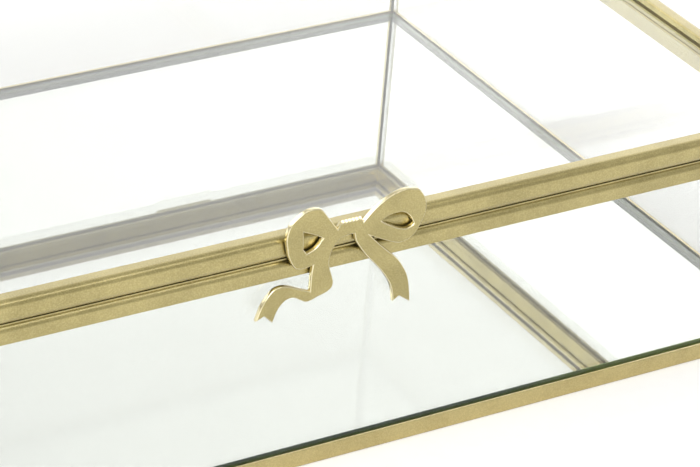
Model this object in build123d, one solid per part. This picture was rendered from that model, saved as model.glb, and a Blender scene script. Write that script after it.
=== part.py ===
from build123d import *
import os

# Glass jewelry box: metal rails around glass walls, a mirror base and a hinged glass lid with a bow pull.
# Millimetres, +X right, +Y towards the rear, +Z up; the origin is the centre of the underside.

# ---- driving dimensions ----
BOX_WIDTH = 219.0
BOX_DEPTH = 152.5
BOX_HEIGHT = 51.0

RAIL_WIDTH = 3.45           # rim and lid rails, from outer face to inner face
LID_HEIGHT = 4.73           # height of the lid rails
RIM_HEIGHT = 3.6            # height of the rim rails
LID_SEAM = 0.22             # gap between the closed lid and the rim
WALL = 0.6                  # metal thickness around the glass walls
SEAL = 0.05                 # bed of sealant around each glass
EDGE_LARGE = 1.45           # rounding along the outer edges of the lid and the upper one of the rim
EDGE_MEDIUM = 0.4
EDGE_SMALL = 0.15

GLASS = 2.0
MIRROR = 3.0
SLOT_DEPTH = 2.0            # how far glass reaches into a channel

BOTTOM_HEIGHT = 3.55
BOTTOM_FLANGE_WIDTH = 6.0   # shelf under the mirror
BOTTOM_FLANGE = 0.75
POST_LEG = 2.5

BOW_THICKNESS = 1.05
BOW_GAP = 0.3               # between the rails and the back of the bow
BOW_EDGE = 0.22
STUD_RADIUS = 0.9
STUD_HOLE_PLAY = 0.02
STUD_DEPTH_IN_RAIL = 0.8
STUD_DEPTH_IN_BOW = 0.5
STUDS = [(-11.7, 48.9), (3.6, 49.2)]

HINGE_X = 55.0
HINGE_LENGTH = 14.0
HINGE_OFFSET = 1.7          # pin line behind the rear faces
KNUCKLE_RADIUS = 1.4
CENTRE_KNUCKLE = 4.4
KNUCKLE_GAP = 0.15
PIN_RADIUS = 0.55
PIN_PLAY = 0.05
PIN_HEAD_RADIUS = 0.95
PIN_HEAD = 0.4
LEAF = 0.8
LEAF_HEIGHT = 1.9
LEAF_CLEARANCE = 0.35       # between a knuckle and the other leaf
OPEN_ANGLE = 100.0
STOP_LENGTH = 3.2
STOP_THICKNESS = 0.8
STOP_PLAY = 0.04

# ---- worked out from the above ----
LID_BOTTOM = BOX_HEIGHT - LID_HEIGHT
RIM_TOP = LID_BOTTOM - LID_SEAM
RIM_BOTTOM = RIM_TOP - RIM_HEIGHT
SLOT = GLASS + 2 * SEAL
LID_WEB = RAIL_WIDTH - SLOT_DEPTH
LID_LIP = (LID_HEIGHT - SLOT) / 2
MIRROR_BOTTOM = BOTTOM_FLANGE + SEAL
GLASS_INSET = WALL + SEAL
INNER_INSET = GLASS_INSET + GLASS + SEAL
PIN_Y = BOX_DEPTH / 2 + HINGE_OFFSET
PIN_Z = LID_BOTTOM - LID_SEAM / 2

os.makedirs("parts", exist_ok=True)


def save(shape, name):
    export_step(shape, f"parts/{name}.step")


# ---- rails: a section swept along each side, mitred at both ends ----

def rounded(section, corners):
    """Round the named corners of a section; each entry is (x, y, radius)."""
    for x, y, radius in corners:
        corner = section.vertices().sort_by_distance((x, y, 0))[0]
        section = fillet(corner, radius)
    return section


def box_section(x0, y0, x1, y1):
    return Pos((x0 + x1) / 2, (y0 + y1) / 2) * Rectangle(x1 - x0, y1 - y0)


def lid_section():
    """Channel that opens inwards around the lid glass."""
    slot = box_section(LID_WEB, LID_LIP, RAIL_WIDTH, LID_LIP + SLOT)
    section = box_section(0, 0, RAIL_WIDTH, LID_HEIGHT) - slot
    return rounded(section, [
        (0, LID_HEIGHT, EDGE_LARGE),
        (0, 0, EDGE_LARGE),
        (RAIL_WIDTH, LID_HEIGHT, EDGE_MEDIUM),
        (RAIL_WIDTH, 0, EDGE_MEDIUM),
    ])


def rim_section():
    """Channel that opens downwards over the top edge of a glass wall."""
    slot = box_section(WALL, 0, WALL + SLOT, SLOT_DEPTH)
    section = box_section(0, 0, RAIL_WIDTH, RIM_HEIGHT) - slot
    return rounded(section, [
        (0, RIM_HEIGHT, EDGE_LARGE),
        (RAIL_WIDTH, RIM_HEIGHT, EDGE_MEDIUM),
        (0, 0, EDGE_SMALL),
        (RAIL_WIDTH, 0, EDGE_SMALL),
    ])


def bottom_section():
    """Angle: an upstand outside the glass and a shelf under the mirror."""
    upstand = box_section(0, 0, WALL, BOTTOM_HEIGHT)
    shelf = box_section(0, 0, BOTTOM_FLANGE_WIDTH, BOTTOM_FLANGE)
    return rounded(upstand + shelf, [
        (0, 0, EDGE_MEDIUM),
        (0, BOTTOM_HEIGHT, EDGE_SMALL),
    ])


def mitred_rail(section, length, face_distance, bottom):
    """A rail along X whose outer face looks towards -Y, cut at 45 degrees at both ends."""
    bar = extrude(Plane.YZ * section, length / 2, both=True)
    reach = BOTTOM_FLANGE_WIDTH + 1
    outline = Polyline(
        (-length / 2, 0), (length / 2, 0), (length / 2 - reach, reach), (-length / 2 + reach, reach),
        close=True,
    )
    mitre = extrude(make_face(outline), 2 * BOX_HEIGHT, both=True)
    return Pos(0, -face_distance, bottom) * (bar & mitre)


def side_rails(section, bottom):
    """The four rails of one frame, by the side that each is on."""
    along_x = mitred_rail(section, BOX_WIDTH, BOX_DEPTH / 2, bottom)
    along_y = mitred_rail(section, BOX_DEPTH, BOX_WIDTH / 2, bottom)
    return {
        "front": along_x,
        "right": Rot(0, 0, 90) * along_y,
        "rear": Rot(0, 0, 180) * along_x,
        "left": Rot(0, 0, -90) * along_y,
    }


# ---- body ----

def corner_post():
    """Angle that covers the front left corner of the glass walls, between bottom rail and rim."""
    legs = Rectangle(POST_LEG, POST_LEG, align=(Align.MIN, Align.MIN))
    legs -= Pos(WALL, WALL) * Rectangle(POST_LEG, POST_LEG, align=(Align.MIN, Align.MIN))
    legs = rounded(legs, [(0, 0, EDGE_MEDIUM)])
    post = extrude(legs, RIM_BOTTOM - BOTTOM_HEIGHT)
    return Pos(-BOX_WIDTH / 2, -BOX_DEPTH / 2, BOTTOM_HEIGHT) * post


def plate(width, depth, bottom, top):
    return Pos(0, 0, bottom) * Box(width, depth, top - bottom, align=(Align.CENTER, Align.CENTER, Align.MIN))


def front_glass():
    width = BOX_WIDTH - 2 * GLASS_INSET
    panel = plate(width, GLASS, MIRROR_BOTTOM, RIM_BOTTOM + SLOT_DEPTH - SEAL)
    return Pos(0, -BOX_DEPTH / 2 + GLASS_INSET + GLASS / 2, 0) * panel


def right_glass():
    depth = BOX_DEPTH - 2 * INNER_INSET
    panel = plate(GLASS, depth, MIRROR_BOTTOM, RIM_BOTTOM + SLOT_DEPTH - SEAL)
    return Pos(BOX_WIDTH / 2 - GLASS_INSET - GLASS / 2, 0, 0) * panel


def base_mirror():
    width = BOX_WIDTH - 2 * INNER_INSET
    depth = BOX_DEPTH - 2 * INNER_INSET
    return plate(width, depth, MIRROR_BOTTOM, MIRROR_BOTTOM + MIRROR)


def felt_sheet():
    margin = BOTTOM_FLANGE_WIDTH + SEAL
    return plate(BOX_WIDTH - 2 * margin, BOX_DEPTH - 2 * margin, 0, BOTTOM_FLANGE)


# ---- lid ----

def lid_glass():
    margin = LID_WEB + SEAL
    bottom = LID_BOTTOM + LID_LIP + SEAL
    return plate(BOX_WIDTH - 2 * margin, BOX_DEPTH - 2 * margin, bottom, bottom + GLASS)


def stud_rod(x, z, radius, start, end):
    """A round rod along Y; start and end count outwards from the front face of the box."""
    rod = Cylinder(radius, end - start, align=(Align.CENTER, Align.CENTER, Align.MIN))
    return Pos(x, -BOX_DEPTH / 2 - start, z) * Rot(90, 0, 0) * rod


def bow_studs():
    rods = [
        stud_rod(x, z, STUD_RADIUS, -STUD_DEPTH_IN_RAIL, BOW_GAP + STUD_DEPTH_IN_BOW)
        for x, z in STUDS
    ]
    return Compound(children=rods)


def stud_holes(start, end):
    return [stud_rod(x, z, STUD_RADIUS + STUD_HOLE_PLAY, start, end) for x, z in STUDS]


def filled(curves):
    """The flat face inside curves that join end to end."""
    return make_face([edge for curve in curves for edge in curve.edges()])


def bow_outline():
    """Edge of the ribbon bow seen from the front: x to the right, z from the floor."""
    left_loop = Spline((-2.9, 51.3), (-4.7, 53.7), (-6.5, 56.0), (-7.9, 56.5), (-9.7, 56.4),
                       (-11.3, 55.5), (-12.6, 54.5), (-13.3, 53.2), (-13.6, 51.1), (-13.3, 49.3),
                       (-12.9, 47.6), (-11.7, 45.3), (-10.5, 44.5), (-8.8, 44.4), (-7.6, 44.7))
    tail_neck = Spline((-7.6, 44.7), (-7.8, 42.7), (-7.8, 40.7), (-7.8, 39.4))
    tail_back = Spline((-7.8, 39.4), (-9.9, 40.3), (-11.8, 41.2), (-13.5, 41.7), (-15.3, 41.5),
                       (-16.7, 40.2), (-17.9, 38.4), (-18.9, 35.5))
    tail_fork = Polyline((-18.9, 35.5), (-17.2, 36.2), (-15.3, 34.4))
    tail_front = Spline((-15.3, 34.4), (-14.6, 36.4), (-13.8, 37.7), (-12.7, 38.6), (-11.2, 38.7),
                        (-9.8, 37.9), (-8.5, 37.2), (-7.3, 37.3), (-6.2, 37.7), (-5.0, 38.0),
                        (-3.9, 38.4), (-3.1, 39.1), (-2.9, 40.1), (-3.2, 41.4), (-3.8, 43.1),
                        (-4.1, 44.4), (-4.0, 46.0), (-3.5, 47.3), (-2.8, 48.2))
    knot_below = Spline((-2.8, 48.2), (-2.2, 49.0), (-1.3, 49.3), (-0.3, 49.4), (0.8, 49.4))
    right_tail_inner = Spline((0.8, 49.4), (1.3, 47.7), (2.4, 46.0), (4.0, 43.9), (6.0, 41.7),
                              (7.8, 39.5), (9.4, 37.0), (10.1, 35.0), (10.5, 32.8))
    right_fork = Polyline((10.5, 32.8), (11.8, 33.6), (14.4, 31.8))
    right_tail_outer = Spline((14.4, 31.8), (14.0, 34.8), (13.3, 37.7), (12.0, 40.2), (10.5, 42.2),
                              (8.3, 44.3), (6.5, 46.0), (4.6, 48.0))
    right_loop = Spline((4.6, 48.0), (5.9, 47.3), (7.7, 46.4), (9.2, 45.7), (10.8, 45.2), (12.7, 45.5),
                        (14.2, 46.6), (15.2, 48.3), (15.9, 50.1), (16.1, 51.7), (15.7, 53.6),
                        (14.2, 55.7), (12.7, 56.2), (11.2, 56.4), (9.3, 56.1), (7.4, 55.4), (5.6, 54.3),
                        (4.1, 53.1), (2.6, 51.5))
    knot_above = Polyline((2.6, 51.5), (2.1, 52.5), (-2.3, 52.5), (-2.9, 51.3))
    return [left_loop, tail_neck, tail_back, tail_fork, tail_front, knot_below, right_tail_inner,
            right_fork, right_tail_outer, right_loop, knot_above]


def bow_openings():
    """The small openings inside the two loops."""
    left = [Spline((-10.1, 52.1), (-7.7, 51.0), (-5.9, 49.9)),
            Spline((-5.9, 49.9), (-7.1, 48.4), (-8.4, 47.7), (-9.0, 47.5)),
            Polyline((-9.0, 47.5), (-9.8, 48.5), (-10.1, 52.1))]
    right = [Spline((6.5, 50.8), (8.0, 51.5), (9.6, 51.7), (10.9, 51.6), (12.0, 51.0), (12.9, 50.0),
                    (13.6, 48.6)),
             Spline((13.6, 48.6), (12.9, 48.1), (11.9, 48.0), (10.3, 48.5), (8.6, 49.4), (7.4, 50.1),
                    (6.5, 50.8))]
    return [filled(loop) for loop in (left, right)]


def bow_pull():
    face = filled(bow_outline())
    for opening in bow_openings():
        face -= opening
    back = -BOX_DEPTH / 2 - BOW_GAP
    flat = Plane(origin=(0, back, 0), x_dir=(1, 0, 0), z_dir=(0, -1, 0))
    bow = extrude(flat * face, BOW_THICKNESS)
    front_edges = bow.faces().sort_by(Axis.Y)[0].edges()
    bow = chamfer(front_edges, BOW_EDGE)
    for hole in stud_holes(BOW_GAP, BOW_GAP + STUD_DEPTH_IN_BOW):
        bow -= hole
    return bow


# ---- hinges: centre knuckle on the lid, outer knuckles on the body ----

def knuckle(centre_x, length):
    return Pos(centre_x, PIN_Y, PIN_Z) * Rot(0, 90, 0) * Cylinder(KNUCKLE_RADIUS, length)


def pin_bore():
    return Pos(0, PIN_Y, PIN_Z) * Rot(0, 90, 0) * Cylinder(PIN_RADIUS + PIN_PLAY, 2 * HINGE_LENGTH)


def leaf_plate(centre_x, width, bottom, top):
    leaf = Box(width, LEAF, top - bottom, align=(Align.CENTER, Align.MIN, Align.MIN))
    return Pos(centre_x, BOX_DEPTH / 2, bottom) * leaf


def stop_tail():
    """Tail behind the centre knuckle; its lower face meets the body leaf when the lid is open."""
    reach = (STOP_LENGTH + KNUCKLE_RADIUS) / 2
    tail = Box(CENTRE_KNUCKLE, reach, STOP_THICKNESS, align=(Align.CENTER, Align.MIN, Align.MIN))
    face_distance = HINGE_OFFSET - LEAF - STOP_PLAY
    tail = Pos(0, STOP_LENGTH - reach, -face_distance) * tail
    return Pos(0, PIN_Y, PIN_Z) * Rot(OPEN_ANGLE - 90, 0, 0) * tail


def lid_leaf():
    clear_of_knuckle = PIN_Z + KNUCKLE_RADIUS + LEAF_CLEARANCE
    leaf = leaf_plate(0, HINGE_LENGTH, clear_of_knuckle, clear_of_knuckle + LEAF_HEIGHT - LEAF_CLEARANCE)
    tongue = leaf_plate(0, CENTRE_KNUCKLE, PIN_Z + EDGE_MEDIUM, clear_of_knuckle)
    return leaf + tongue + knuckle(0, CENTRE_KNUCKLE) + stop_tail() - pin_bore()


def body_leaf():
    clear_of_knuckle = PIN_Z - KNUCKLE_RADIUS - LEAF_CLEARANCE
    leaf = leaf_plate(0, HINGE_LENGTH, clear_of_knuckle - LEAF_HEIGHT, clear_of_knuckle)
    outer = (HINGE_LENGTH - CENTRE_KNUCKLE) / 2 - KNUCKLE_GAP
    for side in (-1, 1):
        centre_x = side * (HINGE_LENGTH - outer) / 2
        leaf += leaf_plate(centre_x, outer, clear_of_knuckle, PIN_Z - EDGE_MEDIUM)
        leaf += knuckle(centre_x, outer)
    return leaf - pin_bore()


def hinge_pin():
    pin = Cylinder(PIN_RADIUS, HINGE_LENGTH)
    for side in (-1, 1):
        pin += Pos(0, 0, side * (HINGE_LENGTH + PIN_HEAD) / 2) * Cylinder(PIN_HEAD_RADIUS, PIN_HEAD)
    return Pos(0, PIN_Y, PIN_Z) * Rot(0, 90, 0) * pin


# ---- write every piece ----

bottom_rails = side_rails(bottom_section(), 0)
rim_rails = side_rails(rim_section(), RIM_BOTTOM)
lid_rails = side_rails(lid_section(), LID_BOTTOM)
for hole in stud_holes(-STUD_DEPTH_IN_RAIL, 1):
    lid_rails["front"] -= hole

for side in ("front", "right", "rear", "left"):
    save(bottom_rails[side], f"bottom_rail_{side}")
    save(rim_rails[side], f"rim_rail_{side}")
    save(lid_rails[side], f"lid_rail_{side}")

post = corner_post()
save(post, "corner_post_front_left")
save(mirror(post, Plane.YZ), "corner_post_front_right")
save(mirror(post, Plane.XZ), "corner_post_rear_left")
save(Rot(0, 0, 180) * post, "corner_post_rear_right")

save(front_glass(), "glass_front")
save(Rot(0, 0, 180) * front_glass(), "glass_rear")
save(right_glass(), "glass_right")
save(Rot(0, 0, 180) * right_glass(), "glass_left")
save(base_mirror(), "base_mirror")
save(felt_sheet(), "felt_sheet")

save(lid_glass(), "lid_glass")
save(bow_pull(), "bow_pull")
save(bow_studs(), "bow_studs")

for side, centre_x in (("left", -HINGE_X), ("right", HINGE_X)):
    save(Pos(centre_x, 0, 0) * body_leaf(), f"hinge_body_leaf_{side}")
    save(Pos(centre_x, 0, 0) * lid_leaf(), f"hinge_lid_leaf_{side}")
    save(Pos(centre_x, 0, 0) * hinge_pin(), f"hinge_pin_{side}")
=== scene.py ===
import math

import bmesh
import bpy
from mathutils import Matrix, Vector


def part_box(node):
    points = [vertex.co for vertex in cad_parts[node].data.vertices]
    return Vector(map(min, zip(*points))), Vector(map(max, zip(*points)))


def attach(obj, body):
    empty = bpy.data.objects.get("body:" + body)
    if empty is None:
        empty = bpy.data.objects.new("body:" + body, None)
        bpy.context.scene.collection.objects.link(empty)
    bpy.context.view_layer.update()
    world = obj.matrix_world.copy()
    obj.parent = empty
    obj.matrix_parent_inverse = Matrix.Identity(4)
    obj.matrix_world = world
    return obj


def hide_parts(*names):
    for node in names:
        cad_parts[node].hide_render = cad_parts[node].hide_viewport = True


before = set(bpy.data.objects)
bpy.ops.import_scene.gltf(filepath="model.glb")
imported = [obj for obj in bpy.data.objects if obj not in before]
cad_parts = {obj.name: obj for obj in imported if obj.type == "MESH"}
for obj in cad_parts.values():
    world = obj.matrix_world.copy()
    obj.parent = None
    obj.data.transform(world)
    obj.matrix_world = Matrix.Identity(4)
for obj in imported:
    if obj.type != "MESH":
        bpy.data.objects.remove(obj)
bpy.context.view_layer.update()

MM = 0.001

# ---- sizes read from the frame ----
LID_LOW, LID_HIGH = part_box("lid_rail_front")
RIM_LOW, RIM_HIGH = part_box("rim_rail_front")
BOTTOM_LOW, BOTTOM_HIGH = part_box("bottom_rail_front")
POST_LOW, POST_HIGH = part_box("corner_post_front_left")
WALL_LOW, WALL_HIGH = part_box("glass_front")
MIRROR_LOW, MIRROR_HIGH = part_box("base_mirror")
FELT_LOW, FELT_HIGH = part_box("felt_sheet")
BOW_LOW, BOW_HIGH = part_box("bow_pull")

HALF_WIDTH = LID_HIGH.x
HALF_DEPTH = -LID_LOW.y
RAIL_WIDTH = LID_HIGH.y - LID_LOW.y
LID_HEIGHT = LID_HIGH.z - LID_LOW.z
RIM_HEIGHT = RIM_HIGH.z - RIM_LOW.z
GLASS = WALL_HIGH.y - WALL_LOW.y

# ---- channels of the rails ----
SEAL = 0.05 * MM                                # bed of sealant around each glass
METAL = WALL_LOW.y + HALF_DEPTH - SEAL          # metal thickness outside the wall glass
SLOT = GLASS + 2 * SEAL
RIM_SLOT_DEPTH = WALL_HIGH.z - RIM_LOW.z + SEAL
LID_SLOT_DEPTH = 2.0 * MM

# ---- strips on the rim, under the lid ----
STRIP_INSET = 0.8 * MM                          # from the outer face of the rim
STRIP_BACK = 0.5 * MM                           # from the inner face of the rim
STRIP_SUNK = 0.3 * MM                           # below the top of the rim
STRIP_GAP = 0.06 * MM                           # under the closed lid

# ---- edge roundings ----
ROUND_LARGE = 1.45 * MM
ROUND_EDGE = 0.35 * MM
ROUND_THIN = 0.12 * MM
GLASS_EDGE = 0.15 * MM
BOW_ROUND = 0.3 * MM

# ---- tolerances ----
WELD = 0.001 * MM                               # points closer than this become one
ON_CUT = 0.0001 * MM                            # points this close to a cut lie on it
NEAR = 0.01 * MM
FACING = 0.98                                   # a face that looks along an axis, as a cosine


# ======== shader nodes ========

COLOUR_A, COLOUR_B, COLOUR_OUT = 6, 7, 2        # sockets of a Mix node that mixes colours


def rgb(red, green, blue):
    return (red, green, blue, 1.0)


class Wire:
    """One output socket, with the arithmetic that the materials use."""

    def __init__(self, shader, socket):
        self.shader = shader
        self.socket = socket

    def _math(self, operation, *values):
        return self.shader.node("ShaderNodeMath", {"operation": operation}, dict(enumerate(values)))

    def __add__(self, other):
        return self._math("ADD", self, other)

    def __radd__(self, other):
        return self._math("ADD", other, self)

    def __sub__(self, other):
        return self._math("SUBTRACT", self, other)

    def __rsub__(self, other):
        return self._math("SUBTRACT", other, self)

    def __mul__(self, other):
        return self._math("MULTIPLY", self, other)

    def __rmul__(self, other):
        return self._math("MULTIPLY", other, self)

    def absolute(self):
        return self._math("ABSOLUTE", self)

    def ramp(self, low, high):
        """0 below low, 1 above high, smooth between."""
        settings = {"interpolation_type": "SMOOTHSTEP"}
        return self.shader.node("ShaderNodeMapRange", settings, {0: self, 1: low, 2: high})


class Nodes:
    """A node tree with one method that adds any node."""

    def __init__(self, tree):
        self.tree = tree

    def node(self, kind, settings=None, inputs=None, output=0):
        made = self.tree.nodes.new(kind)
        for key, value in (settings or {}).items():
            setattr(made, key, value)
        for key, value in (inputs or {}).items():
            self.link(made.inputs[key], value)
        return Wire(self, made.outputs[output])

    def link(self, socket, value):
        if isinstance(value, Wire):
            self.tree.links.new(value.socket, socket)
        else:
            socket.default_value = value

    def place(self):
        """Object coordinates in a material, the direction in the world."""
        return self.node("ShaderNodeTexCoord", output="Object")

    def towards(self, direction):
        """How far the place lies along a direction."""
        inputs = {0: self.place(), 1: Vector(direction).normalized()}
        return self.node("ShaderNodeVectorMath", {"operation": "DOT_PRODUCT"}, inputs, output="Value")


class Shader(Nodes):
    """A material with a principled surface."""

    def __init__(self, name, **surface):
        self.material = bpy.data.materials.new(name)
        self.material.use_nodes = True
        super().__init__(self.material.node_tree)
        self.principled = self.tree.nodes["Principled BSDF"]
        self.output = self.tree.nodes["Material Output"]
        for socket, value in surface.items():
            self.principled.inputs[socket.replace("_", " ")].default_value = value

    def feed(self, **sockets):
        for socket, value in sockets.items():
            self.link(self.principled.inputs[socket.replace("_", " ")], value)

    def axis(self, letter):
        return self.node("ShaderNodeSeparateXYZ", {}, {0: self.place()}, output=letter)

    def stretched(self, x, y, z):
        return self.node("ShaderNodeMapping", {}, {"Vector": self.place(), "Scale": (x, y, z)})

    def noise(self, size, detail=3.0, rough=0.5, where=None):
        """Noise with cells about size metres across, between 0 and 1."""
        inputs = {"Vector": where or self.place(), "Scale": 1.0 / size,
                  "Detail": detail, "Roughness": rough}
        return self.node("ShaderNodeTexNoise", {}, inputs)

    def mix(self, mask, first, second):
        inputs = {"Factor": mask, COLOUR_A: rgb(*first), COLOUR_B: rgb(*second)}
        return self.node("ShaderNodeMix", {"data_type": "RGBA"}, inputs, output=COLOUR_OUT)

    def bump(self, height, strength, distance):
        inputs = {"Height": height, "Strength": strength, "Distance": distance}
        return self.node("ShaderNodeBump", {}, inputs)


# ======== materials ========

GLASS_TINT = (0.45, 0.62, 0.42)


def champagne_gold(name, tone, grain, roughness):
    """Champagne gold plating: finely grained, a little uneven, under thin lacquer."""
    shader = Shader(name, Metallic=1.0, Coat_Weight=1.0, Coat_Roughness=0.15)
    cloud = shader.noise(9 * MM, 2.0).ramp(0.3, 0.7)
    speck = shader.noise(0.28 * MM, 2.0, 0.6)
    pits = shader.noise(0.5 * MM, 1.0).ramp(0.66, 0.74)
    shader.feed(
        Base_Color=shader.mix(cloud * 0.4 + speck.ramp(0.35, 0.75) * 0.6, *tone),
        Roughness=roughness + speck * 0.16 + pits * 0.10,
        Normal=shader.bump(speck - pits * 0.5, grain, 0.05 * MM),
    )
    return shader.material


def clear_glass(name, density):
    """Float glass, clear through the sheet and green along it, with the faintest wipe marks."""
    shader = Shader(name, Base_Color=rgb(1.0, 1.0, 1.0), Transmission_Weight=1.0, IOR=1.5)
    wipes = shader.noise(14 * MM, 3.0, 0.6, shader.stretched(1.0, 3.0, 1.0)).ramp(0.6, 0.9)
    shader.feed(Roughness=wipes * 0.012)
    inside = shader.node("ShaderNodeVolumeAbsorption", {}, {"Color": rgb(*GLASS_TINT), "Density": density})
    shader.link(shader.output.inputs["Volume"], inside)
    return shader.material


def silver_back(name):
    """The silvering, seen through the glass."""
    shader = Shader(name, Metallic=1.0)
    mottle = shader.noise(30 * MM, 3.0)
    shader.feed(
        Base_Color=shader.mix(mottle, (0.57, 0.58, 0.56), (0.60, 0.61, 0.59)),
        Roughness=0.01 + mottle * 0.01,
    )
    return shader.material


def cut_edge(name, bottle, olive):
    """Ground edge of the mirror glass: bottle green, with painted light: olive near the silvering and the
    corners, and both colours lifted against the shade behind the bottom rail.
    """
    shader = Shader(name, Coat_Weight=0.3, Coat_Roughness=0.1)
    grind = shader.noise(0.6 * MM, 3.0, 0.6, shader.stretched(0.1, 0.1, 1.0))
    low = 1.0 - shader.axis("Z").ramp(MIRROR_HIGH.z - 1.3 * MM, MIRROR_HIGH.z)
    near_corner = shader.axis("X").absolute().ramp(0.35 * HALF_WIDTH, 0.62 * HALF_WIDTH)
    # painted light: the edge turns olive towards the silvering and towards the corners, where it is lit
    # brighter; the grinding marks add real streaks
    painted_light_mask = near_corner * 0.9 + (1.0 - near_corner) * (low * 0.45 + grind * 0.3)
    shader.feed(
        Base_Color=shader.mix(painted_light_mask, bottle, olive),
        Roughness=0.25 + grind * 0.3,
        Normal=shader.bump(grind, 0.3, 0.03 * MM),
    )
    return shader.material


def wool_felt(name):
    """Short beige felt, tufted."""
    shader = Shader(name, Sheen_Weight=0.4, Sheen_Roughness=0.5)
    fibres = shader.noise(0.5 * MM, 5.0, 0.7, shader.stretched(1.0, 0.5, 1.0))
    tufts = shader.noise(5 * MM, 3.0)
    shader.feed(
        Base_Color=shader.mix(fibres * 0.6 + tufts * 0.4, (0.50, 0.46, 0.39), (0.74, 0.70, 0.62)),
        Roughness=0.85 + fibres * 0.15,
        Normal=shader.bump(fibres, 0.8, 0.2 * MM),
    )
    return shader.material


def pale_paper(name):
    """Matt pale paper on the table."""
    shader = Shader(name)
    tooth = shader.noise(3 * MM, 4.0)
    shader.feed(
        Base_Color=shader.mix(tooth, (0.91, 0.91, 0.90), (0.94, 0.94, 0.935)),
        Roughness=0.75 + tooth * 0.1,
    )
    return shader.material


# darker and paler colour of each plating; the bottom rails' copy is paler as painted light, the bow edges'
# as a painted highlight
PLATED = ((0.30, 0.247, 0.085), (0.49, 0.408, 0.165))
# painted light: a paler copy of the plating for the bottom rails, so that they look lit brighter than the
# rails above
PLATED_BASE_PAINTED_BRIGHT = ((0.42, 0.335, 0.125), (0.58, 0.475, 0.20))
# painted highlight: the bow's rounded edges get a paler colour, besides their real lower roughness
POLISH_AND_PAINTED_HIGHLIGHT = ((0.64, 0.56, 0.33), (0.74, 0.66, 0.40))
SATIN, BRIGHT = 0.24, 0.08                      # roughness

frame_gold = champagne_gold("champagne_frame", PLATED, 0.7, SATIN)
bow_gold = champagne_gold("champagne_bow", PLATED, 0.9, SATIN)
bow_edge_gold = champagne_gold("champagne_bow_edge", POLISH_AND_PAINTED_HIGHLIGHT, 0.2, BRIGHT)
base_gold_painted_bright = champagne_gold("champagne_base_painted_bright", PLATED_BASE_PAINTED_BRIGHT, 0.7, SATIN)
hinge_gold = champagne_gold("champagne_hinge", PLATED, 0.3, SATIN)
wall_glass = clear_glass("clear_wall_glass", 10.0)
lid_clear = clear_glass("clear_lid_glass", 10.0)
mirror_glass = clear_glass("mirror_front_glass", 12.0)
silver = silver_back("mirror_silvering")
# both edge colours are lifted as painted light against the shade the edge sits in behind the bottom rail
edge_green = cut_edge("mirror_cut_edge", (0.010, 0.042, 0.040), (0.20, 0.29, 0.055))
felt_cloth = wool_felt("base_felt")
paper = pale_paper("table_paper")


# ======== mesh work ========

def finish_piece(mesh, name, body, nodes, materials, smooth_angle=35.0):
    """Turn a bmesh into a piece that rides on a body, in place of CAD nodes if any are named."""
    bmesh.ops.remove_doubles(mesh, verts=mesh.verts, dist=WELD)
    bmesh.ops.recalc_face_normals(mesh, faces=mesh.faces)
    limit = math.radians(smooth_angle)
    for face in mesh.faces:
        face.smooth = True
    for edge in mesh.edges:
        edge.smooth = edge.is_manifold and edge.calc_face_angle(0.0) < limit
    data = bpy.data.meshes.new(name)
    mesh.to_mesh(data)
    mesh.free()
    for material in materials:
        data.materials.append(material)
    piece = bpy.data.objects.new(name, data)
    bpy.context.scene.collection.objects.link(piece)
    shading = piece.modifiers.new("flat_faces_stay_flat", "WEIGHTED_NORMAL")
    shading.keep_sharp = True
    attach(piece, body)
    if nodes:
        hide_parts(*nodes)
    return piece


def bevel_edges(mesh, edges, radius, segments=6):
    bmesh.ops.bevel(mesh, geom=edges, offset=radius, offset_type="OFFSET", segments=segments,
                    profile=0.5, affect="EDGES", material=-1, clamp_overlap=True)


def add_block(mesh, low, high):
    """A box between two corners; returns its vertices."""
    size = high - low
    place = Matrix.Translation((low + high) / 2) @ Matrix.Diagonal((*size, 1.0))
    return bmesh.ops.create_cube(mesh, size=1.0, matrix=place)["verts"]


def edges_of(verts):
    return list({edge for vert in verts for edge in vert.link_edges})


def extruded(points, travel):
    """A bar whose end face has the given corners, drawn out by a vector."""
    mesh = bmesh.new()
    section = mesh.faces.new([mesh.verts.new(point) for point in points])
    swept = bmesh.ops.extrude_face_region(mesh, geom=[section])["geom"]
    moved = [item for item in swept if isinstance(item, bmesh.types.BMVert)]
    bmesh.ops.translate(mesh, verts=moved, vec=travel)
    return mesh


def mitred_rail(outline, roundings, half_length, face_distance, bottom, turn):
    """A rail with mitred ends, turned to its side; its section is outline, in (inward, up) points."""
    start = [(-half_length, inward, up) for inward, up in outline]
    mesh = extruded(start, (2 * half_length, 0, 0))
    for (inward, up), radius in roundings.items():
        corner = Vector((0, inward, up))
        along = [edge for edge in mesh.edges
                 if abs(edge.verts[0].co.x - edge.verts[1].co.x) > half_length
                 and (Vector((0, *edge.verts[0].co.yz)) - corner).length < NEAR]
        bevel_edges(mesh, along, radius)
    for end in (-1, 1):
        cut = bmesh.ops.bisect_plane(
            mesh, geom=[*mesh.verts, *mesh.edges, *mesh.faces], dist=ON_CUT,
            plane_co=(end * half_length, 0, 0), plane_no=(end, 1, 0), clear_outer=True)
        rim = [item for item in cut["geom_cut"] if isinstance(item, bmesh.types.BMEdge)]
        bmesh.ops.contextual_create(mesh, geom=rim)
    bmesh.ops.translate(mesh, verts=mesh.verts, vec=(0, -face_distance, bottom))
    bmesh.ops.rotate(mesh, verts=mesh.verts, cent=(0, 0, 0), matrix=Matrix.Rotation(turn, 3, "Z"))
    return mesh


# turn about the upright, half of the length, and distance of the outer face from the centre
SIDES = {
    "front": (0.0, HALF_WIDTH, HALF_DEPTH),
    "right": (math.pi / 2, HALF_DEPTH, HALF_WIDTH),
    "rear": (math.pi, HALF_WIDTH, HALF_DEPTH),
    "left": (-math.pi / 2, HALF_DEPTH, HALF_WIDTH),
}


def rail_set(kind, body, outline, roundings, bottom, metal=frame_gold):
    """The four rails of one frame."""
    for side, (turn, half_length, distance) in SIDES.items():
        mesh = mitred_rail(outline, roundings, half_length, distance, bottom, turn)
        node = f"{kind}_{side}"
        finish_piece(mesh, f"{node}_metal", body, [node], [metal])


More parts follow.
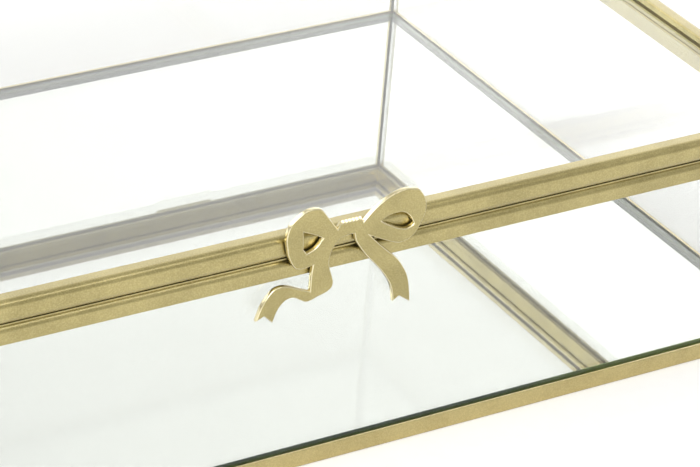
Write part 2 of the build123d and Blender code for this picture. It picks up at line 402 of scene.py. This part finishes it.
def lid_rails():
    """Channels that open inwards around the lid glass."""
    lip = (LID_HEIGHT - SLOT) / 2
    web = RAIL_WIDTH - LID_SLOT_DEPTH
    outline = [(0, 0), (RAIL_WIDTH, 0), (RAIL_WIDTH, lip), (web, lip), (web, lip + SLOT),
               (RAIL_WIDTH, lip + SLOT), (RAIL_WIDTH, LID_HEIGHT), (0, LID_HEIGHT)]
    roundings = {(0, LID_HEIGHT): ROUND_LARGE, (0, 0): ROUND_LARGE,
                 (RAIL_WIDTH, LID_HEIGHT): ROUND_EDGE, (RAIL_WIDTH, 0): ROUND_EDGE}
    rail_set("lid_rail", "lid", outline, roundings, LID_LOW.z)


def rim_rails():
    """Channels that open downwards over the wall glass."""
    inner = METAL + SLOT
    outline = [(0, 0), (METAL, 0), (METAL, RIM_SLOT_DEPTH), (inner, RIM_SLOT_DEPTH), (inner, 0),
               (RAIL_WIDTH, 0), (RAIL_WIDTH, RIM_HEIGHT), (0, RIM_HEIGHT)]
    roundings = {(0, RIM_HEIGHT): ROUND_LARGE, (RAIL_WIDTH, RIM_HEIGHT): ROUND_EDGE,
                 (0, 0): ROUND_THIN, (RAIL_WIDTH, 0): ROUND_THIN}
    rail_set("rim_rail", "box", outline, roundings, RIM_LOW.z)


def rest_strips():
    """Low strips on the rim that the closed lid comes down to; they close the seam to the eye."""
    low = RIM_HIGH.z - STRIP_SUNK
    height = LID_LOW.z - STRIP_GAP - low
    end = RAIL_WIDTH - STRIP_BACK
    outline = [(STRIP_INSET, 0), (end, 0), (end, height), (STRIP_INSET, height)]
    for side, (turn, half_length, distance) in SIDES.items():
        mesh = mitred_rail(outline, {}, half_length, distance, low, turn)
        finish_piece(mesh, f"rest_strip_{side}", "box", [], [frame_gold])


def bottom_rails():
    """Angles: an upstand outside the wall glass and a shelf under the mirror."""
    height = BOTTOM_HIGH.z
    shelf = BOTTOM_HIGH.y - BOTTOM_LOW.y
    plate = MIRROR_LOW.z - SEAL
    outline = [(0, 0), (shelf, 0), (shelf, plate), (METAL, plate), (METAL, height), (0, height)]
    roundings = {(0, height): ROUND_THIN, (METAL, height): ROUND_THIN, (0, 0): ROUND_EDGE,
                 (shelf, 0): ROUND_THIN, (shelf, plate): ROUND_THIN}
    # the bottom rails take the paler copy of the plating, which is painted light
    rail_set("bottom_rail", "box", outline, roundings, 0.0, base_gold_painted_bright)


def corner_posts():
    """Angles over the corners of the wall glass."""
    leg = POST_HIGH.x - POST_LOW.x
    outline = [(0, 0), (leg, 0), (leg, METAL), (METAL, METAL), (METAL, leg), (0, leg)]
    for name, along_x, along_y in (("front_left", -1, -1), ("front_right", 1, -1),
                                   ("rear_left", -1, 1), ("rear_right", 1, 1)):
        mesh = extruded([(x, y, POST_LOW.z) for x, y in outline], (0, 0, POST_HIGH.z - POST_LOW.z))
        upright = [edge for edge in mesh.edges if abs(edge.verts[0].co.z - edge.verts[1].co.z) > leg]
        corner = [edge for edge in upright if edge.verts[0].co.xy.length < NEAR]
        bevel_edges(mesh, corner, ROUND_EDGE)
        bmesh.ops.scale(mesh, verts=mesh.verts, vec=(-along_x, -along_y, 1))
        place = (along_x * HALF_WIDTH, along_y * HALF_DEPTH, 0)
        bmesh.ops.translate(mesh, verts=mesh.verts, vec=place)
        node = f"corner_post_{name}"
        finish_piece(mesh, f"{node}_metal", "box", [node], [frame_gold])


def glass_sheet(name, body, node, material):
    """A cut glass sheet with its sharp edges taken off."""
    mesh = bmesh.new()
    low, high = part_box(node)
    bevel_edges(mesh, edges_of(add_block(mesh, low, high)), GLASS_EDGE, 1)
    finish_piece(mesh, name, body, [node], [material])


def glass_sheets():
    for side in SIDES:
        glass_sheet(f"wall_glass_{side}", "box", f"glass_{side}", wall_glass)
    glass_sheet("lid_glass_sheet", "lid", "lid_glass", lid_clear)


def base_mirror():
    """Thick glass, silvered underneath, with ground edges."""
    mesh = bmesh.new()
    add_block(mesh, MIRROR_LOW, MIRROR_HIGH)
    upper_edges = [edge for edge in mesh.edges
                   if all(vert.co.z > MIRROR_HIGH.z - NEAR for vert in edge.verts)]
    bevel_edges(mesh, upper_edges, ROUND_THIN, 1)
    materials = [mirror_glass, silver, edge_green]
    for face in mesh.faces:
        if face.normal.z > FACING:
            face.material_index = materials.index(mirror_glass)
        elif face.normal.z < -FACING:
            face.material_index = materials.index(silver)
        else:
            face.material_index = materials.index(edge_green)
    finish_piece(mesh, "mirror_plate", "box", ["base_mirror"], materials)


def felt():
    """Felt glued under the mirror, inside the shelf of the bottom rails."""
    mesh = bmesh.new()
    verts = add_block(mesh, FELT_LOW, FELT_HIGH)
    bmesh.ops.subdivide_edges(mesh, edges=edges_of(verts), cuts=24, use_grid_fill=True)
    piece = finish_piece(mesh, "felt_lining", "box", ["felt_sheet"], [felt_cloth])


# ======== bow ========

# Edge of the bow seen from the front, in millimetres: x to the right, z from the floor.
# A corner ends each run; the other points lie on smooth curves.
BOW_RUNS = [
    [(-2.9, 51.3), (-4.7, 53.7), (-6.5, 56.0), (-7.9, 56.5), (-9.7, 56.4), (-11.3, 55.5),
     (-12.6, 54.5), (-13.3, 53.2), (-13.6, 51.1), (-13.3, 49.3), (-12.9, 47.6), (-11.7, 45.3),
     (-10.5, 44.5), (-8.8, 44.4), (-7.6, 44.7)],
    [(-7.6, 44.7), (-7.8, 42.7), (-7.8, 40.7), (-7.8, 39.4)],
    [(-7.8, 39.4), (-9.9, 40.3), (-11.8, 41.2), (-13.5, 41.7), (-15.3, 41.5), (-16.7, 40.2),
     (-17.9, 38.4), (-18.9, 35.5)],
    [(-18.9, 35.5), (-17.2, 36.2)],
    [(-17.2, 36.2), (-15.3, 34.4)],
    [(-15.3, 34.4), (-14.6, 36.4), (-13.8, 37.7), (-12.7, 38.6), (-11.2, 38.7), (-9.8, 37.9),
     (-8.5, 37.2), (-7.3, 37.3), (-6.2, 37.7), (-5.0, 38.0), (-3.9, 38.4), (-3.1, 39.1), (-2.9, 40.1),
     (-3.2, 41.4), (-3.8, 43.1), (-4.1, 44.4), (-4.0, 46.0), (-3.5, 47.3), (-2.8, 48.2)],
    [(-2.8, 48.2), (-2.2, 49.0), (-1.3, 49.3), (-0.3, 49.4), (0.8, 49.4)],
    [(0.8, 49.4), (1.3, 47.7), (2.4, 46.0), (4.0, 43.9), (6.0, 41.7), (7.8, 39.5), (9.4, 37.0),
     (10.1, 35.0), (10.5, 32.8)],
    [(10.5, 32.8), (11.8, 33.6)],
    [(11.8, 33.6), (14.4, 31.8)],
    [(14.4, 31.8), (14.0, 34.8), (13.3, 37.7), (12.0, 40.2), (10.5, 42.2), (8.3, 44.3), (6.5, 46.0),
     (4.6, 48.0)],
    [(4.6, 48.0), (5.9, 47.3), (7.7, 46.4), (9.2, 45.7), (10.8, 45.2), (12.7, 45.5), (14.2, 46.6),
     (15.2, 48.3), (15.9, 50.1), (16.1, 51.7), (15.7, 53.6), (14.2, 55.7), (12.7, 56.2), (11.2, 56.4),
     (9.3, 56.1), (7.4, 55.4), (5.6, 54.3), (4.1, 53.1), (2.6, 51.5)],
    [(2.6, 51.5), (2.1, 52.5)],
    [(2.1, 52.5), (1.73, 52.2), (1.37, 52.5), (1.0, 52.2), (0.63, 52.5), (0.27, 52.2), (-0.1, 52.5),
     (-0.47, 52.2), (-0.83, 52.5), (-1.2, 52.2), (-1.57, 52.5), (-1.93, 52.2), (-2.3, 52.5)],
    [(-2.3, 52.5), (-2.9, 51.3)],
]
LEFT_OPENING = [
    [(-10.1, 52.1), (-7.7, 51.0), (-5.9, 49.9)],
    [(-5.9, 49.9), (-7.1, 48.4), (-8.4, 47.7), (-9.0, 47.5)],
    [(-9.0, 47.5), (-9.8, 48.5)],
    [(-9.8, 48.5), (-10.1, 52.1)],
]
RIGHT_OPENING = [
    [(6.5, 50.8), (8.0, 51.5), (9.6, 51.7), (10.9, 51.6), (12.0, 51.0), (12.9, 50.0), (13.6, 48.6)],
    [(13.6, 48.6), (12.9, 48.1), (11.9, 48.0), (10.3, 48.5), (8.6, 49.4), (7.4, 50.1), (6.5, 50.8)],
]


OUTLINE_STEP = 0.35                             # millimetres between points on the smooth curves


def smooth_line(run):
    """Catmull-Rom line through the points of a run."""
    run = [Vector(point) for point in run]
    if len(run) == 2:
        return run
    knots = [2 * run[0] - run[1], *run, 2 * run[-1] - run[-2]]
    line = []
    for before, start, end, after in zip(knots, knots[1:], knots[2:], knots[3:]):
        count = max(2, round((end - start).length / OUTLINE_STEP))
        for number in range(count):
            t = number / count
            line.append(0.5 * (2 * start + (end - before) * t
                               + (2 * before - 5 * start + 4 * end - after) * t ** 2
                               + (3 * start - before - 3 * end + after) * t ** 3))
    return [*line, run[-1]]


def bow_curve():
    """Outline of the bow as a flat curve in millimetres, with its thickness and rounded edges."""
    rounding = BOW_ROUND / MM
    curve = bpy.data.curves.new("bow_outline", "CURVE")
    curve.dimensions = "2D"
    curve.fill_mode = "BOTH"
    curve.bevel_depth = rounding
    curve.bevel_resolution = 4
    curve.offset = -rounding
    curve.extrude = (BOW_HIGH.y - BOW_LOW.y) / MM / 2 - rounding
    for runs in (BOW_RUNS, LEFT_OPENING, RIGHT_OPENING):
        points = [point for run in runs for point in smooth_line(run)[:-1]]
        loop = curve.splines.new("POLY")
        loop.points.add(len(points) - 1)
        for spot, point in zip(loop.points, points):
            spot.co = (point.x, point.y, 0, 1)
        loop.use_cyclic_u = True
    return curve


def bow():
    """Flat cast bow: grained front, polished rounded edges whose paler colour is a painted highlight."""
    shape = bpy.data.objects.new("bow_outline", bow_curve())
    bpy.context.scene.collection.objects.link(shape)
    mesh = bmesh.new()
    mesh.from_mesh(bpy.data.meshes.new_from_object(shape))
    bpy.data.objects.remove(shape)
    bmesh.ops.scale(mesh, verts=mesh.verts, vec=(MM, MM, MM))
    bmesh.ops.rotate(mesh, verts=mesh.verts, cent=(0, 0, 0), matrix=Matrix.Rotation(math.pi / 2, 3, "X"))
    bmesh.ops.translate(mesh, verts=mesh.verts, vec=(0, (BOW_LOW.y + BOW_HIGH.y) / 2, 0))
    mesh.normal_update()
    materials = [bow_gold, bow_edge_gold]
    for face in mesh.faces:
        flat = abs(face.normal.y) > FACING
        face.material_index = materials.index(bow_gold if flat else bow_edge_gold)
    finish_piece(mesh, "ribbon_bow", "lid", ["bow_pull"], materials, smooth_angle=50.0)


# ======== hinges and studs, which keep their CAD shape ========

def set_metal(node, metal):
    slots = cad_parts[node].data.materials
    slots.clear()
    slots.append(metal)


for side in ("left", "right"):
    for kind in ("hinge_body_leaf", "hinge_lid_leaf", "hinge_pin"):
        set_metal(f"{kind}_{side}", hinge_gold)
set_metal("bow_studs", bow_gold)

lid_rails()
rim_rails()
rest_strips()
bottom_rails()
corner_posts()
glass_sheets()
base_mirror()
felt()
bow()


# ======== stage, light and camera ========

TABLE_SIZE = 4.0
TABLE_DROP = 0.02 * MM                          # under the box, so that the two don't flicker

# ---- brightness of the room ----
ROOM = 0.74
PANEL_DIRECTION, PANEL_GLOW = (0.70, 0.62, 0.36), 1.05
FAR_LEFT_DIRECTION, FAR_LEFT_GLOW = (-0.48, 0.73, 0.49), 2.6

# ---- camera ----
CAMERA_AZIMUTH, CAMERA_ELEVATION, CAMERA_ROLL = -33.62, 29.46, 4.97
CAMERA_PLACE = (-0.3078, -0.4639 - HALF_DEPTH, 0.3635)
CAMERA_LENS = 181.4


def floor():
    mesh = bmesh.new()
    bmesh.ops.create_grid(mesh, x_segments=1, y_segments=1, size=TABLE_SIZE)
    data = bpy.data.meshes.new("table")
    mesh.to_mesh(data)
    mesh.free()
    data.materials.append(paper)
    table = bpy.data.objects.new("table", data)
    table.location.z = -TABLE_DROP
    bpy.context.scene.collection.objects.link(table)


def softbox(name, place, target, size, radiance):
    """A soft rectangular light, as bright as radiance all over its face."""
    light = bpy.data.lights.new(name, "AREA")
    light.shape = "RECTANGLE"
    light.size, light.size_y = size
    light.energy = radiance * math.pi * size[0] * size[1]
    lamp = bpy.data.objects.new(name, light)
    lamp.location = place
    lamp.rotation_euler = (Vector(target) - Vector(place)).to_track_quat("-Z", "Y").to_euler()
    bpy.context.scene.collection.objects.link(lamp)


def studio():
    """Pale room with soft panels behind on both sides, a long strip in front and a key on the left."""
    world = bpy.data.worlds.new("studio")
    world.use_nodes = True
    sky = Nodes(world.node_tree)
    panel = sky.towards(PANEL_DIRECTION).ramp(0.74, 1.0)
    far_left = sky.towards(FAR_LEFT_DIRECTION).ramp(0.88, 0.98)
    background = world.node_tree.nodes["Background"]
    background.inputs["Color"].default_value = rgb(1.0, 1.0, 0.99)
    sky.link(background.inputs["Strength"], ROOM + panel * PANEL_GLOW + far_left * FAR_LEFT_GLOW)
    bpy.context.scene.world = world
    softbox("front_strip", place=(-0.27, -0.59, 0.85), target=(-0.27, 0.0, 0.05),
            size=(1.46, 0.14), radiance=4.0)
    softbox("left_key", place=(-0.75, -0.75, 0.85), target=(0.0, 0.0, 0.05),
            size=(0.9, 0.7), radiance=5.2)
    bpy.context.scene.view_settings.view_transform = "Standard"


def add_camera():
    """A long lens from the front left, tilted a little."""
    azimuth, elevation, roll = map(math.radians, (CAMERA_AZIMUTH, CAMERA_ELEVATION, CAMERA_ROLL))
    back = Vector((math.sin(azimuth) * math.cos(elevation),
                   -math.cos(azimuth) * math.cos(elevation),
                   math.sin(elevation)))
    level = Vector((0, 0, 1)).cross(back).normalized()
    upright = back.cross(level)
    right = math.cos(roll) * level + math.sin(roll) * upright
    up = math.cos(roll) * upright - math.sin(roll) * level
    data = bpy.data.cameras.new("camera")
    data.lens = CAMERA_LENS
    data.sensor_width = 36.0
    data.clip_start = 0.01
    camera = bpy.data.objects.new("camera", data)
    turn = Matrix((right, up, back)).transposed().to_4x4()
    camera.matrix_world = Matrix.Translation(CAMERA_PLACE) @ turn
    bpy.context.scene.collection.objects.link(camera)
    bpy.context.scene.camera = camera


floor()
studio()
add_camera()
